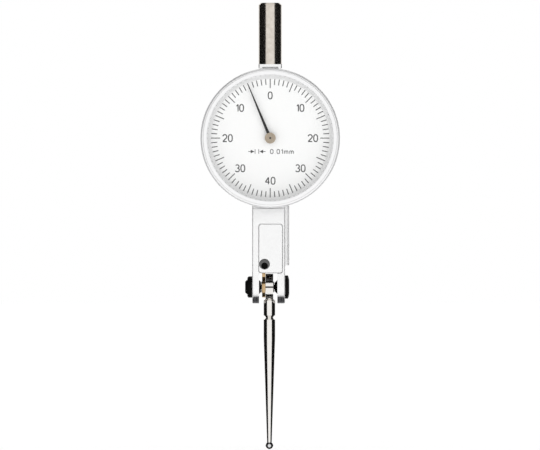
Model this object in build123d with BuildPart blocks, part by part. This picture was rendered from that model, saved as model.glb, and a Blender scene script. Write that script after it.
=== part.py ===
"""Dial test indicator with a long swivelling stylus, a turning bezel and a clamping stem.

Frame: the origin is on the stem's axis where the stem leaves its foot, +Z runs up the stem, and the
dial faces -Y. The stylus swings in the YZ plane about a pivot that lies along X.
Motion: the lever's toothed sector drives the leaf pinion of the crown arbor, the crown wheel drives
the pointer pinion, and the ratios make one dial graduation 0.01 mm of travel at the contact ball.
"""

import os
from math import atan2, cos, degrees, hypot, pi, radians, sin, tan

from build123d import *

# Reach of the stylus and the reading it gives, all sizes in millimetres
stylus_reach = 40.7
measuring_range = 0.8
dial_divisions = 80
free_divisions = 5

# Clearances, each on one side
press_gap = 0.01
running_gap = 0.02
turn_gap = 0.05
loose_gap = 0.2

# Stem, its foot and the end dovetail that carries it
stem_diameter = 6.0
stem_length = 15.8
stem_chamfer = 0.5
stem_stud = 3.0
foot_width = 6.0
foot_corner = 0.4
foot_height = 1.9
foot_roof = 0.7
end_rail_top = 4.2
pad_width = 6.6
pad_rise = 0.25
rail_flank_angle = 30

# Round case
case_diameter = 33.6
case_wall = 1.4
case_back_wall = 1.0
case_back_chamfer = 0.6

# Bezel and the wire that keeps it on
bezel_wall = 1.0
bezel_overlap = 2.2
bezel_ledge = 0.3
bezel_ledge_width = 1.3
bezel_pocket_wall = 1.6
bezel_rim = 1.7
bezel_bead = 0.8
bezel_step = 0.12
bezel_lip = 0.4
snap_wire = 0.56
snap_split_angle = 24

# Dial, its ring and the crystal
dial_thickness = 0.4
dial_hole = 1.6
dial_ring_height = 2.0
dial_ring_foot = 1.0
dial_ring_top = 0.95
crystal_grip = 0.35
crystal_flange_height = 0.6
crystal_rise = 0.7
crystal_thickness = 1.0
crystal_shoulder = 0.85
crystal_wall = 0.95

# Nose, fork and side dovetail
slot_left = -2.88
left_ear = 1.74
right_ear = 1.95
nose_edge_radius = 0.35
neck_gap = 0.3
neck_length = 0.25
neck_shoulder = 3.55
neck_sweep = 0.6
hub_clearance = 0.2
side_rail_height = 1.07
side_rail_neck = 0.6
side_rail_stop = 5.6

# Lever channel through the nose
channel_side_gap = 0.4
channel_front_gap = 0.25
channel_back_wall = 1.2

# Nose cover and the stop screw in it
cover_left_margin = 1.7
cover_right_margin = 0.65
cover_top_margin = 0.4
cover_height = 12.55
cover_thickness = 1.0
cover_proud = 0.1
cover_gap = 0.12
cover_corner = 0.7
cover_bevel = 0.12
cover_ledge = 1.0
cover_notch = 0.25
stop_offset = 0.2
stop_above_slot = 2.3
stop_head = 2.7
stop_head_sink = 0.3
stop_head_rise = 0.25
stop_shank = 1.6
stop_recess = 1.7
stop_recess_offset = 0.42
stop_recess_depth = 0.2

# Pivot screws in the fork's ears
pivot_shank = 3.65
pivot_point_root = 1.2
pivot_point_tip = 0.2
pivot_point_length = 0.8
pivot_end_gap = 0.08
right_head_diameter = 6.0
right_head_height = 1.1
lock_nut_diameter = 5.5
lock_nut_height = 1.25
left_screw_end = 0.57
left_end_chamfer = 0.4
right_head_crown = 0.2
pivot_chamfer = 0.3
pivot_slot = 0.5
pivot_slot_depth = 0.35

# Stylus lever, spindle and friction hub
spindle_left_gap = 0.6
spindle_right_gap = 0.83
spindle_diameter = 2.4
spindle_flange_width = 0.2
spindle_flange_height = 0.2
lever_thickness = 0.85
lever_disc_inset = 0.7
lever_arm_width = 1.5
sector_depth = 1.6
sector_side_teeth = 5
hub_diameter = 6.8
hub_width = 1.95
hub_slit = 0.42
hub_flat = 0.3

# Stylus
stylus_diameter = 3.0
stylus_stud = 1.4
stylus_stud_length = 1.3
stylus_chamfer = 0.4
collar_length = 4.2
groove_diameter = 1.9
groove_width = 1.1
plain_length = 4.4
stylus_end = 1.2
ball_diameter = 2.0

# Gear train
crown_arbor_y = 0.7
pinion_leaves = 8
crown_teeth = 40
pointer_leaves = 12
crown_module = 0.1
addendum = 0.8
dedendum = 1.2
tip_share = 0.20
root_share = 0.52
tooth_sink = 0.2
pinion_overhang = 0.15
crown_rim = 0.5
crown_thickness = 0.4
crown_clearance = 0.25
crown_arbor_diameter = 0.7
crown_pivot = 0.3
pointer_pinion_width = 0.8
pointer_arbor_diameter = 0.5

# Movement frame, bridge, jewels and screws
cheek_gap = 0.9
cheek_thickness = 0.8
cheek_width = 5.0
frame_plate = 0.6
frame_plate_gap = 0.3
frame_margin = 0.5
frame_corner = 0.8
frame_foot = 3.0
jewel_diameter = 1.0
jewel_thickness = 0.5
bridge_thickness = 0.5
bridge_width = 2.6
post_length = 1.2
post_diameter = 1.8
post_spacing = 7.4
screw_diameter = 0.9
screw_head = 1.6
screw_head_height = 0.3
screw_slot = 0.25
screw_slot_depth = 0.15
foot_screw_spacing = 2.8
foot_screw_bite = 0.6
dial_clearance = 0.3

# Pointer and hairspring
pointer_tip_gap = 0.2
pointer_tip_width = 0.20
pointer_root_width = 0.80
pointer_thickness = 0.15
pointer_ring = 2.0
pointer_above_dial = 0.75
boss_diameter = 2.8
boss_height = 0.4
boss_tube = 1.2
boss_tube_length = 0.6
collet_diameter = 1.4
collet_height = 0.45
hairspring_turns = 4
hairspring_thickness = 0.08
hairspring_height = 0.3
hairspring_pitch = 0.34
hairspring_stud = 0.6

# Depths, from the crown arbor forward to the crystal and back to the case's rear face
crown_radius = crown_module * crown_teeth / 2
pointer_pinion_radius = crown_module * pointer_leaves / 2
mesh_y = crown_arbor_y - crown_radius
pinion_back_y = mesh_y + pointer_pinion_width / 2
plate_back_y = mesh_y - pointer_pinion_width / 2 - frame_plate_gap
plate_front_y = plate_back_y - frame_plate
bridge_back_y = plate_front_y - post_length
bridge_front_y = bridge_back_y - bridge_thickness
dial_seat_y = bridge_front_y - screw_head_height - dial_clearance
dial_face_y = dial_seat_y - dial_thickness
crystal_seat_y = dial_face_y - dial_ring_height
lip_y = crystal_seat_y - crystal_flange_height
bezel_front_y = lip_y - bezel_lip
crystal_top_y = bezel_front_y - crystal_rise
ledge_y = dial_seat_y + bezel_ledge
case_front_y = ledge_y + loose_gap
bezel_back_y = case_front_y + bezel_overlap
neck_y = bezel_back_y + neck_gap
cavity_y = crown_arbor_y + crown_radius + crown_rim / 2 + crown_clearance
back_y = cavity_y + case_back_wall
front_y = -back_y
cover_back_y = front_y - cover_proud + cover_thickness
channel_front_y = -lever_arm_width / 2 - channel_front_gap
channel_back_y = back_y - channel_back_wall
collet_back_y = plate_front_y - (post_length - collet_height) / 2
hand_back_y = dial_face_y - pointer_above_dial
boss_back_y = hand_back_y - pointer_thickness
boss_front_y = boss_back_y - boss_height

# Radii about the dial axis
case_radius = case_diameter / 2
case_bore = case_diameter - 2 * case_wall
skirt_radius = case_radius + turn_gap
bezel_radius = skirt_radius + bezel_wall
ledge_radius = case_radius - bezel_ledge_width
opening_radius = bezel_radius - bezel_rim
pocket_radius = bezel_radius - bezel_pocket_wall
dial_radius = pocket_radius - turn_gap
flange_radius = opening_radius + crystal_grip
pointer_length = dial_radius - dial_ring_foot - pointer_tip_gap
snap_y = (case_front_y + bezel_back_y) / 2
snap_radius = (case_radius + skirt_radius) / 2
snap_room = snap_wire / 2 + turn_gap
quarter_share = 1 - cos(radians(45))

# Heights, from the stem's base down to the ball
pad_z = -foot_height - turn_gap
dial_z = pad_z - pad_rise - case_radius
foot_collar_z = dial_z + bezel_radius + loose_gap
nose_top_z = dial_z - case_bore / 2 - loose_gap
neck_top_z = dial_z - bezel_radius - neck_length
neck_base_z = neck_top_z - neck_shoulder
cover_top_z = neck_base_z - cover_top_margin
slot_top_z = cover_top_z - cover_height
pivot_z = slot_top_z - hub_clearance - hub_diameter / 2
seat_z = pivot_z - hub_diameter / 2 + hub_flat
ball_z = pivot_z - stylus_reach
stop_z = slot_top_z + stop_above_slot
dial_to_pivot = dial_z - pivot_z

# Places across the fork and the movement, from left to right
nose_left = slot_left - left_ear
spindle_left = slot_left + spindle_left_gap
lever_left = spindle_left + spindle_flange_height
lever_right = lever_left + lever_thickness
hub_left = lever_right + turn_gap
hub_right = hub_left + hub_width
collar_left = hub_right + turn_gap
collar_right = collar_left + spindle_flange_height
slot_right = collar_right + spindle_right_gap
nose_right = slot_right + right_ear
stylus_x = (hub_left + hub_right) / 2
stop_x = (lever_left + lever_right) / 2 + stop_offset
crown_tip_x = pointer_pinion_radius - addendum * crown_module
crown_root_x = pointer_pinion_radius + dedendum * crown_module
crown_back_x = crown_root_x + crown_thickness
left_cheek_x = lever_left - cheek_gap
right_cheek_x = crown_back_x + cheek_gap
frame_left = left_cheek_x - cheek_thickness
frame_right = right_cheek_x + cheek_thickness
frame_middle = (frame_left + frame_right) / 2
foot_x = frame_right + frame_foot / 2 - frame_middle
frame_plate_height = post_spacing + post_diameter + 2 * frame_margin

# Gear ratios and pitch radii
pointer_ratio = 2 * pi * stylus_reach / measuring_range
sector_ratio = pointer_ratio * pointer_leaves / crown_teeth
centre_distance = hypot(dial_to_pivot, crown_arbor_y)
pinion_radius = centre_distance / (1 + sector_ratio)
sector_radius = centre_distance - pinion_radius
sector_module = 2 * pinion_radius / pinion_leaves
mesh_angle = degrees(atan2(crown_arbor_y, dial_to_pivot))
rest_angle = 360 * free_divisions / dial_divisions

# Axes and section planes of the turned pieces
dial_axis = Axis((0, 0, dial_z), (0, 1, 0))
pivot_axis = Axis((0, 0, pivot_z), (1, 0, 0))
crown_axis = Axis((0, crown_arbor_y, dial_z), (1, 0, 0))
stylus_axis = Axis((stylus_x, 0, 0), (0, 0, 1))
dial_section = Plane.XY.offset(dial_z)
pivot_section = Plane(origin=(0, 0, pivot_z), x_dir=(1, 0, 0), z_dir=(0, -1, 0))
crown_section = Plane(origin=(0, crown_arbor_y, dial_z), x_dir=(1, 0, 0), z_dir=(0, -1, 0))
stylus_section = Plane(origin=(stylus_x, 0, 0), x_dir=(1, 0, 0), z_dir=(0, -1, 0))


def facing(y):
    """A plane at depth y that faces the viewer, centred on the dial axis, with X right and Z up."""
    return Plane(origin=(0, y, dial_z), x_dir=(1, 0, 0), z_dir=(0, -1, 0))


def crown_side(x):
    """A plane at x that faces +X, centred on the crown arbor, with Y right and Z up."""
    return Plane(origin=(x, crown_arbor_y, dial_z), x_dir=(0, 1, 0), z_dir=(1, 0, 0))


def polar(radius, angle):
    """The point at a radius and at an angle in degrees from the upward axis towards the right one."""
    return radius * sin(radians(angle)), radius * cos(radians(angle))


def tooth(pitch_radius, module, angle):
    """The four corners of one straight-flanked tooth that stands out of a wheel at an angle."""
    base = pitch_radius - (dedendum + tooth_sink) * module
    tip = pitch_radius + addendum * module
    half_base = degrees(pi * module * root_share / 2 / pitch_radius)
    half_tip = degrees(pi * module * tip_share / 2 / pitch_radius)
    corners = [polar(base, angle - half_base), polar(tip, angle - half_tip)]
    return corners + [polar(tip, angle + half_tip), polar(base, angle + half_base)]


# Housing: round case, neck, nose, fork and the two dovetails
end_rail_z = -foot_roof - turn_gap
end_rail_root = end_rail_top - 2 * (end_rail_z - pad_z) * tan(radians(rail_flank_angle))
pad_back_y = back_y - case_back_chamfer
pad_middle_y = (neck_y + pad_back_y) / 2
pad_root_z = dial_z + case_radius - case_wall / 2
side_rail_top = back_y - neck_y - 2 * turn_gap
side_rail_root = side_rail_top - 2 * (side_rail_height - side_rail_neck) * tan(radians(rail_flank_angle))
side_rail_y = (back_y + neck_y) / 2
cover_left = nose_left + cover_left_margin
cover_right = nose_right - cover_right_margin
cover_width = cover_right - cover_left
cover_x = (cover_left + cover_right) / 2
cover_z = slot_top_z + cover_height / 2
channel_left = lever_left - channel_side_gap
channel_right = hub_right + channel_side_gap / 2
channel_width = channel_right - channel_left
channel_x = (channel_left + channel_right) / 2
channel_y = (channel_front_y + channel_back_y) / 2

with BuildPart() as housing:
    with BuildSketch(Plane.YZ.offset(nose_left)):
        with BuildLine():
            Polyline((neck_y, neck_top_z), (neck_y, nose_top_z), (back_y, nose_top_z), (back_y, pivot_z))
            CenterArc((0, pivot_z), back_y, 0, -180)
            Line((front_y, pivot_z), (front_y, neck_base_z))
            ThreePointArc(
                (front_y, neck_base_z),
                (front_y + neck_sweep / 4, neck_base_z + neck_shoulder / 2),
                (front_y + neck_sweep, neck_top_z),
            )
            Line((front_y + neck_sweep, neck_top_z), (neck_y, neck_top_z))
        make_face()
    extrude(amount=nose_right - nose_left)
    fillet(housing.faces().filter_by(Axis.X).edges(), nose_edge_radius)
    with BuildSketch(dial_section):
        with BuildLine():
            Polyline(
                (0, back_y),
                (case_radius - case_back_chamfer, back_y),
                (case_radius, back_y - case_back_chamfer),
                (case_radius, snap_y + snap_room),
                (snap_radius - snap_room, snap_y + snap_room),
                (snap_radius - snap_room, snap_y - snap_room),
                (case_radius, snap_y - snap_room),
                (case_radius, case_front_y),
                (0, case_front_y),
                close=True,
            )
        make_face()
    revolve(axis=dial_axis)
    with BuildSketch(Plane.XY.offset(pad_root_z)):
        with Locations((0, pad_middle_y)):
            Rectangle(pad_width, pad_back_y - neck_y)
    extrude(amount=pad_z - pad_root_z)
    with BuildSketch(Plane.XZ.offset(-pad_back_y)):
        with BuildLine():
            Polyline(
                (-end_rail_root / 2, pad_z),
                (end_rail_root / 2, pad_z),
                (end_rail_top / 2, end_rail_z),
                (-end_rail_top / 2, end_rail_z),
                close=True,
            )
        make_face()
    extrude(amount=pad_back_y - neck_y)
    with BuildSketch(Plane.XY.offset(nose_top_z)):
        with BuildLine():
            Polyline(
                (nose_right - nose_edge_radius, side_rail_y - side_rail_root / 2),
                (nose_right + side_rail_neck, side_rail_y - side_rail_root / 2),
                (nose_right + side_rail_height, side_rail_y - side_rail_top / 2),
                (nose_right + side_rail_height, side_rail_y + side_rail_top / 2),
                (nose_right + side_rail_neck, side_rail_y + side_rail_root / 2),
                (nose_right - nose_edge_radius, side_rail_y + side_rail_root / 2),
                close=True,
            )
        make_face()
    extrude(amount=pivot_z + side_rail_stop - nose_top_z)
    with BuildSketch(facing(cavity_y)):
        Circle(case_bore / 2)
    extrude(amount=cavity_y - case_front_y, mode=Mode.SUBTRACT)
    with BuildSketch(Plane.XY.offset(slot_top_z)):
        with Locations((channel_x, channel_y)):
            Rectangle(channel_width, channel_back_y - channel_front_y)
    extrude(amount=nose_top_z + case_wall - slot_top_z, mode=Mode.SUBTRACT)
    with BuildSketch(Plane.XZ.offset(back_y)):
        with Locations((cover_x, cover_z)):
            RectangleRounded(cover_width + 2 * cover_gap, cover_height + 2 * cover_gap, cover_corner)
    extrude(amount=-(cover_thickness - cover_proud), mode=Mode.SUBTRACT)
    with BuildSketch(Plane.XZ.offset(back_y)):
        with Locations((channel_x, cover_z - cover_ledge / 2)):
            Rectangle(channel_width, cover_height - cover_ledge)
    extrude(amount=front_y - channel_front_y, mode=Mode.SUBTRACT)
    with BuildSketch(Plane.XZ.offset(back_y)):
        with Locations(((slot_left + slot_right) / 2, slot_top_z - stylus_reach / 2)):
            Rectangle(slot_right - slot_left, stylus_reach)
    extrude(amount=-2 * back_y, mode=Mode.SUBTRACT)
    with BuildSketch(Plane.YZ.offset(nose_left)):
        with Locations((0, pivot_z)):
            Circle(pivot_shank / 2 + running_gap)
    extrude(amount=nose_right - nose_left, mode=Mode.SUBTRACT)
    with BuildSketch(facing(cavity_y)):
        with Locations((frame_middle, 0)):
            with GridLocations(2 * foot_x, foot_screw_spacing, 2, 2):
                Circle(screw_diameter / 2 + press_gap)
    extrude(amount=-foot_screw_bite - turn_gap, mode=Mode.SUBTRACT)

# Plate that closes the nose in front, with a notch to pry it out
with BuildPart() as nose_cover:
    with BuildSketch(Plane.XZ.offset(-cover_back_y)):
        with Locations((cover_x, cover_z)):
            RectangleRounded(cover_width, cover_height, cover_corner)
    extrude(amount=cover_thickness)
    chamfer(nose_cover.faces().sort_by(Axis.Y)[0].edges(), cover_bevel)
    with BuildSketch(Plane.XZ.offset(-cover_back_y)):
        with Locations((stop_x, stop_z)):
            Circle(stop_shank / 2 + running_gap)
    extrude(amount=cover_thickness, mode=Mode.SUBTRACT)
    with BuildSketch(Plane.XZ.offset(cover_thickness - cover_back_y)):
        with Locations((stop_x, stop_z)):
            Circle(stop_head / 2 + turn_gap)
    extrude(amount=-stop_head_sink, mode=Mode.SUBTRACT)
    with BuildSketch(Plane.XZ.offset(cover_thickness - cover_back_y)):
        with Locations((cover_x, cover_top_z)):
            Circle(cover_notch)
    extrude(amount=-cover_thickness / 2, mode=Mode.SUBTRACT)

# Screw through the cover that stops the lever at rest, with an eccentric recess in its head
stop_axis = Axis((stop_x, 0, stop_z), (0, 1, 0))
stop_section = Plane(origin=(stop_x, 0, stop_z), x_dir=(1, 0, 0), z_dir=(0, 0, 1))
stop_top_y = cover_back_y - cover_thickness - stop_head_rise
stop_seat_y = cover_back_y - cover_thickness + stop_head_sink
stop_tip_y = -lever_arm_width / 2 - turn_gap

with BuildPart() as stop_screw:
    with BuildSketch(stop_section):
        with BuildLine():
            Polyline(
                (0, stop_top_y),
                (0, stop_tip_y),
                (stop_shank / 2, stop_tip_y),
                (stop_shank / 2, stop_seat_y),
                (stop_head / 2, stop_seat_y),
                (stop_head / 2, stop_top_y + stop_head_rise),
            )
            ThreePointArc(
                (stop_head / 2, stop_top_y + stop_head_rise),
                (stop_head / 4, stop_top_y + stop_head_rise / 4),
                (0, stop_top_y),
            )
        make_face()
    revolve(axis=stop_axis)
    with BuildSketch(Plane.XZ.offset(-stop_top_y)):
        with Locations((stop_x, stop_z - stop_recess_offset)):
            Circle(stop_recess / 2)
    extrude(amount=-stop_head_rise - stop_recess_depth, mode=Mode.SUBTRACT)

# Clamping stem with the stud that goes through its foot
with BuildPart() as stem:
    with BuildSketch(Plane.XZ):
        with BuildLine():
            Polyline(
                (0, -foot_roof),
                (stem_stud / 2, -foot_roof),
                (stem_stud / 2, 0),
                (stem_diameter / 2, 0),
                (stem_diameter / 2, stem_length - stem_chamfer),
                (stem_diameter / 2 - stem_chamfer, stem_length),
                (0, stem_length),
                close=True,
            )
        make_face()
    revolve(axis=Axis.Z)

# Foot that slides onto the end dovetail
with BuildPart() as stem_foot:
    with BuildSketch(Plane.XY.offset(-foot_height)):
        RectangleRounded(foot_width, foot_width, foot_corner)
    extrude(amount=foot_height)
    with BuildSketch(Plane.XY.offset(-foot_height)):
        with Locations((0, neck_y - foot_width / 2)):
            Rectangle(foot_width, foot_width)
    extrude(amount=foot_height + foot_collar_z, mode=Mode.SUBTRACT)
    with BuildSketch(Plane.XZ.offset(-foot_width)):
        with BuildLine():
            Polyline(
                (-end_rail_root / 2 - turn_gap, pad_z),
                (end_rail_root / 2 + turn_gap, pad_z),
                (end_rail_top / 2 + turn_gap, end_rail_z + turn_gap),
                (-end_rail_top / 2 - turn_gap, end_rail_z + turn_gap),
                close=True,
            )
        make_face()
    extrude(amount=2 * foot_width, mode=Mode.SUBTRACT)
    with BuildSketch(Plane.XY.offset(-foot_roof)):
        Circle(stem_stud / 2 + press_gap)
    extrude(amount=foot_roof, mode=Mode.SUBTRACT)

# Right pivot screw: low crowned head outside the ear, cone and point inside the fork
right_face_x = collar_right + pivot_end_gap
right_cone = pivot_shank / 2 - (slot_right - right_face_x)
right_tip_x = right_face_x - pivot_point_length
right_head_x = nose_right + right_head_height
right_rim_x = right_head_x - right_head_crown - pivot_chamfer / 2

with BuildPart() as right_pivot_screw:
    with BuildSketch(pivot_section):
        with BuildLine():
            Polyline(
                (right_tip_x, 0),
                (right_tip_x, pivot_point_tip / 2),
                (right_face_x, pivot_point_root / 2),
                (right_face_x, right_cone),
                (slot_right, pivot_shank / 2),
                (nose_right, pivot_shank / 2),
                (nose_right, right_head_diameter / 2),
                (right_rim_x, right_head_diameter / 2),
                (right_rim_x + pivot_chamfer / 2, right_head_diameter / 2 - pivot_chamfer),
                (right_head_x, pivot_shank / 2),
                (right_head_x, 0),
                close=True,
            )
        make_face()
    revolve(axis=pivot_axis)
    with BuildSketch(Plane.YZ.offset(right_head_x)):
        with Locations((0, pivot_z)):
            Rectangle(pivot_slot, right_head_diameter)
    extrude(amount=-pivot_slot_depth, mode=Mode.SUBTRACT)

# Left pivot screw, adjusted by its slot and held by a lock nut
left_face_x = spindle_left - pivot_end_gap
left_cone = pivot_shank / 2 - (left_face_x - slot_left)
left_tip_x = left_face_x + pivot_point_length
left_end_x = nose_left - lock_nut_height - left_screw_end

with BuildPart() as left_pivot_screw:
    with BuildSketch(pivot_section):
        with BuildLine():
            Polyline(
                (left_tip_x, 0),
                (left_tip_x, pivot_point_tip / 2),
                (left_face_x, pivot_point_root / 2),
                (left_face_x, left_cone),
                (slot_left, pivot_shank / 2),
                (left_end_x + left_end_chamfer, pivot_shank / 2),
                (left_end_x, pivot_shank / 2 - left_end_chamfer),
                (left_end_x, 0),
                close=True,
            )
        make_face()
    revolve(axis=pivot_axis)
    with BuildSketch(Plane.YZ.offset(left_end_x)):
        with Locations((0, pivot_z)):
            Rectangle(pivot_slot, pivot_shank)
    extrude(amount=pivot_slot_depth, mode=Mode.SUBTRACT)

with BuildPart() as lock_nut:
    with BuildSketch(pivot_section):
        with BuildLine():
            Polyline(
                (nose_left, pivot_shank / 2 + running_gap),
                (nose_left, lock_nut_diameter / 2),
                (nose_left - lock_nut_height + pivot_chamfer, lock_nut_diameter / 2),
                (nose_left - lock_nut_height, lock_nut_diameter / 2 - pivot_chamfer),
                (nose_left - lock_nut_height, pivot_shank / 2 + running_gap),
                close=True,
            )
        make_face()
    revolve(axis=pivot_axis)
    with BuildSketch(Plane.YZ.offset(nose_left - lock_nut_height)):
        with Locations((0, pivot_z)):
            Rectangle(2 * pivot_slot, lock_nut_diameter)
    extrude(amount=pivot_slot_depth, mode=Mode.SUBTRACT)

# Brass lever with the toothed sector that drives the movement
sector_pitch = degrees(pi * sector_module / sector_radius)
sector_root = sector_radius - dedendum * sector_module
sector_half = (sector_side_teeth + 0.5) * sector_pitch

with BuildPart() as lever_arm:
    with BuildSketch(Plane(origin=(lever_left, 0, pivot_z), x_dir=(0, 1, 0), z_dir=(1, 0, 0))):
        with BuildLine():
            sector_arc = ThreePointArc(
                polar(sector_root, mesh_angle - sector_half),
                polar(sector_root, mesh_angle),
                polar(sector_root, mesh_angle + sector_half),
            )
            Polyline(
                sector_arc @ 1,
                polar(sector_root - sector_depth, mesh_angle + sector_half),
                (lever_arm_width / 2, sector_root - 3 * sector_depth),
                (lever_arm_width / 2, 0),
                (-lever_arm_width / 2, 0),
                (-lever_arm_width / 2, sector_root - 3 * sector_depth),
                polar(sector_root - sector_depth, mesh_angle - sector_half),
                sector_arc @ 0,
            )
        make_face()
        Circle(hub_diameter / 2 - lever_disc_inset)
        for step in range(-sector_side_teeth, sector_side_teeth + 1):
            Polygon(*tooth(sector_radius, sector_module, mesh_angle + step * sector_pitch), align=None)
        Circle(spindle_diameter / 2 + press_gap, mode=Mode.SUBTRACT)
    extrude(amount=lever_thickness)

# Spindle that the lever is pressed on, with a cup at each end for the pivot points
with BuildPart() as spindle:
    with BuildSketch(pivot_section):
        with BuildLine():
            Polyline(
                (left_tip_x + turn_gap, 0),
                (left_tip_x + turn_gap, pivot_point_tip / 2 + running_gap),
                (spindle_left, pivot_point_root / 2 + running_gap),
                (spindle_left, spindle_diameter / 2 + spindle_flange_width),
                (lever_left, spindle_diameter / 2 + spindle_flange_width),
                (lever_left, spindle_diameter / 2),
                (collar_right, spindle_diameter / 2),
                (collar_right, pivot_point_root / 2 + running_gap),
                (right_tip_x - turn_gap, pivot_point_tip / 2 + running_gap),
                (right_tip_x - turn_gap, 0),
                close=True,
            )
        make_face()
    revolve(axis=pivot_axis)

with BuildPart() as spindle_collar:
    with BuildSketch(Plane.YZ.offset(collar_left)):
        with Locations((0, pivot_z)):
            Circle(spindle_diameter / 2 + spindle_flange_width)
            Circle(spindle_diameter / 2 + press_gap, mode=Mode.SUBTRACT)
    extrude(amount=spindle_flange_height)

# Split hub that grips the spindle by friction and carries the stylus
with BuildPart() as stylus_hub:
    with BuildSketch(Plane.YZ.offset(hub_left)):
        with Locations((0, pivot_z)):
            Circle(hub_diameter / 2)
            Circle(spindle_diameter / 2 + running_gap, mode=Mode.SUBTRACT)
        with Locations((-hub_diameter / 2, pivot_z)):
            Rectangle(hub_diameter, hub_slit, mode=Mode.SUBTRACT)
        with Locations((0, seat_z - hub_diameter / 2)):
            Rectangle(hub_diameter, hub_diameter, mode=Mode.SUBTRACT)
    extrude(amount=hub_width)
    with BuildSketch(Plane.XY.offset(seat_z)):
        with Locations((stylus_x, 0)):
            Circle(stylus_stud / 2 + press_gap)
    extrude(amount=stylus_stud_length + turn_gap, mode=Mode.SUBTRACT)

# Stylus: collar, spanner groove, plain length and taper to the ball
collar_end_z = seat_z - collar_length
groove_end_z = collar_end_z - groove_width
taper_z = groove_end_z - plain_length

with BuildPart() as stylus:
    with BuildSketch(stylus_section):
        with BuildLine():
            Polyline(
                (0, seat_z + stylus_stud_length),
                (stylus_stud / 2, seat_z + stylus_stud_length),
                (stylus_stud / 2, seat_z),
                (stylus_diameter / 2 - stylus_chamfer, seat_z),
                (stylus_diameter / 2, seat_z - stylus_chamfer),
                (stylus_diameter / 2, collar_end_z),
                (groove_diameter / 2, (collar_end_z + groove_end_z) / 2),
                (stylus_diameter / 2, groove_end_z),
                (stylus_diameter / 2, taper_z),
                (stylus_end / 2, ball_z + ball_diameter / 4),
                (0, ball_z + ball_diameter / 4),
                close=True,
            )
        make_face()
    revolve(axis=stylus_axis)
    with Locations((stylus_x, 0, ball_z)):
        Sphere(ball_diameter / 2 + press_gap, mode=Mode.SUBTRACT)

with BuildPart() as contact_ball:
    with Locations((stylus_x, 0, ball_z)):
        Sphere(ball_diameter / 2)

# Crown arbor with its leaf pinion cut in one piece
arbor_left = left_cheek_x + turn_gap
arbor_right = right_cheek_x - turn_gap
pivot_reach = jewel_thickness
pinion_left = lever_left - pinion_overhang
pinion_right = lever_right + pinion_overhang
pinion_core = pinion_radius - dedendum * sector_module

with BuildPart() as crown_arbor:
    with BuildSketch(crown_section):
        with BuildLine():
            Polyline(
                (arbor_left - pivot_reach, 0),
                (arbor_left - pivot_reach, crown_pivot / 2),
                (arbor_left, crown_pivot / 2),
                (arbor_left, crown_arbor_diameter / 2),
                (pinion_left, crown_arbor_diameter / 2),
                (pinion_left, pinion_core),
                (pinion_right, pinion_core),
                (pinion_right, crown_arbor_diameter / 2),
                (arbor_right, crown_arbor_diameter / 2),
                (arbor_right, crown_pivot / 2),
                (arbor_right + pivot_reach, crown_pivot / 2),
                (arbor_right + pivot_reach, 0),
                close=True,
            )
        make_face()
    revolve(axis=crown_axis)
    with BuildSketch(crown_side(pinion_left)):
        for leaf in range(pinion_leaves):
            leaf_angle = mesh_angle + (leaf + 0.5) * 360 / pinion_leaves
            Polygon(*tooth(pinion_radius, sector_module, leaf_angle), align=None)
    extrude(amount=pinion_right - pinion_left)

# Crown wheel: a disc with teeth that stand out of its face
crown_tooth_pitch = pi * crown_module

with BuildPart() as crown_wheel:
    with BuildSketch(crown_side(crown_root_x)):
        Circle(crown_radius + crown_rim / 2)
        Circle(crown_arbor_diameter / 2 + press_gap, mode=Mode.SUBTRACT)
    extrude(amount=crown_thickness)
    for index in range(crown_teeth):
        across, along = polar(1, 360 * index / crown_teeth)
        root_y = crown_arbor_y - along * (crown_radius - crown_rim / 2)
        root_z = dial_z - across * (crown_radius - crown_rim / 2)
        with BuildSketch(Plane(origin=(0, root_y, root_z), x_dir=(1, 0, 0), z_dir=(0, -along, -across))):
            with BuildLine():
                Polyline(
                    (crown_root_x + crown_thickness / 2, -crown_tooth_pitch * root_share / 2),
                    (crown_root_x, -crown_tooth_pitch * root_share / 2),
                    (crown_tip_x, -crown_tooth_pitch * tip_share / 2),
                    (crown_tip_x, crown_tooth_pitch * tip_share / 2),
                    (crown_root_x, crown_tooth_pitch * root_share / 2),
                    (crown_root_x + crown_thickness / 2, crown_tooth_pitch * root_share / 2),
                    close=True,
                )
            make_face()
        extrude(amount=crown_rim)

# Movement frame: front plate, two cheeks for the crown arbor and two feet on the case back
with BuildPart() as movement_frame:
    with BuildSketch(facing(plate_back_y)):
        with Locations((frame_middle, 0)):
            RectangleRounded(frame_right - frame_left, frame_plate_height, frame_corner)
    extrude(amount=frame_plate)
    with BuildSketch(facing(cavity_y)):
        with Locations((frame_left + cheek_thickness / 2, 0), (frame_right - cheek_thickness / 2, 0)):
            Rectangle(cheek_thickness, cheek_width)
    extrude(amount=cavity_y - plate_back_y)
    with BuildSketch(facing(cavity_y)):
        with Locations((frame_left - frame_foot / 2, 0), (frame_right + frame_foot / 2, 0)):
            Rectangle(frame_foot, cheek_width)
    extrude(amount=frame_plate)
    with BuildSketch(crown_side(frame_left)):
        Circle(jewel_diameter / 2 + press_gap)
    extrude(amount=frame_right - frame_left, mode=Mode.SUBTRACT)
    with BuildSketch(facing(plate_back_y)):
        Circle(jewel_diameter / 2 + press_gap)
        with GridLocations(0, post_spacing, 1, 2):
            Circle(screw_diameter / 2 + press_gap)
    extrude(amount=frame_plate, mode=Mode.SUBTRACT)
    with BuildSketch(facing(cavity_y)):
        with Locations((frame_middle, 0)):
            with GridLocations(2 * foot_x, foot_screw_spacing, 2, 2):
                Circle(screw_diameter / 2 + press_gap)
    extrude(amount=frame_plate, mode=Mode.SUBTRACT)

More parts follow.
